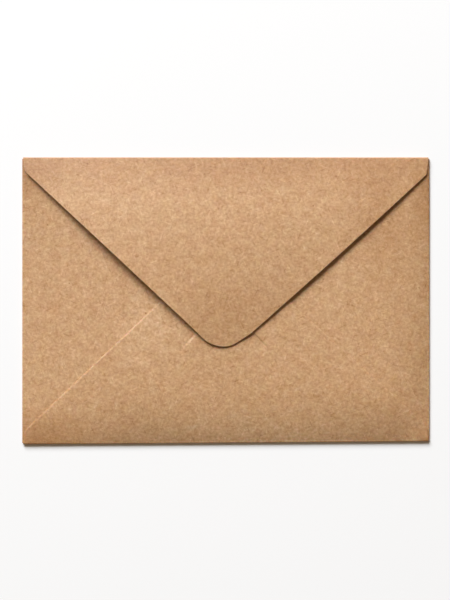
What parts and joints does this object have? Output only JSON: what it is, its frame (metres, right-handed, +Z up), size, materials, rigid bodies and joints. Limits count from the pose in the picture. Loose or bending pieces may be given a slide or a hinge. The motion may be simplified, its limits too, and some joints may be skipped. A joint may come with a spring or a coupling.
{
  "type": "kraft envelope",
  "caption": "Brown kraft letter envelope, folded from one sheet, with a glued diamond-pattern back and a long pointed closing flap folded down unsealed.",
  "frame": {"origin": "under the middle of the envelope, on the surface that it lies on", "axes": "+X along the long side, to the right when the back is seen with its closing flap at the top; +Y towards the closing flap's crease; +Z up, out of the glued back"},
  "size_m": [0.162, 0.1142, 0.0066],
  "materials": {
    "kraft_paper": "uncoated brown kraft paper, matt, with fine fibres and faint mottling"
  },
  "bodies": {
    "root": {"envelope": "kraft_paper"}
  },
  "joints": []
}
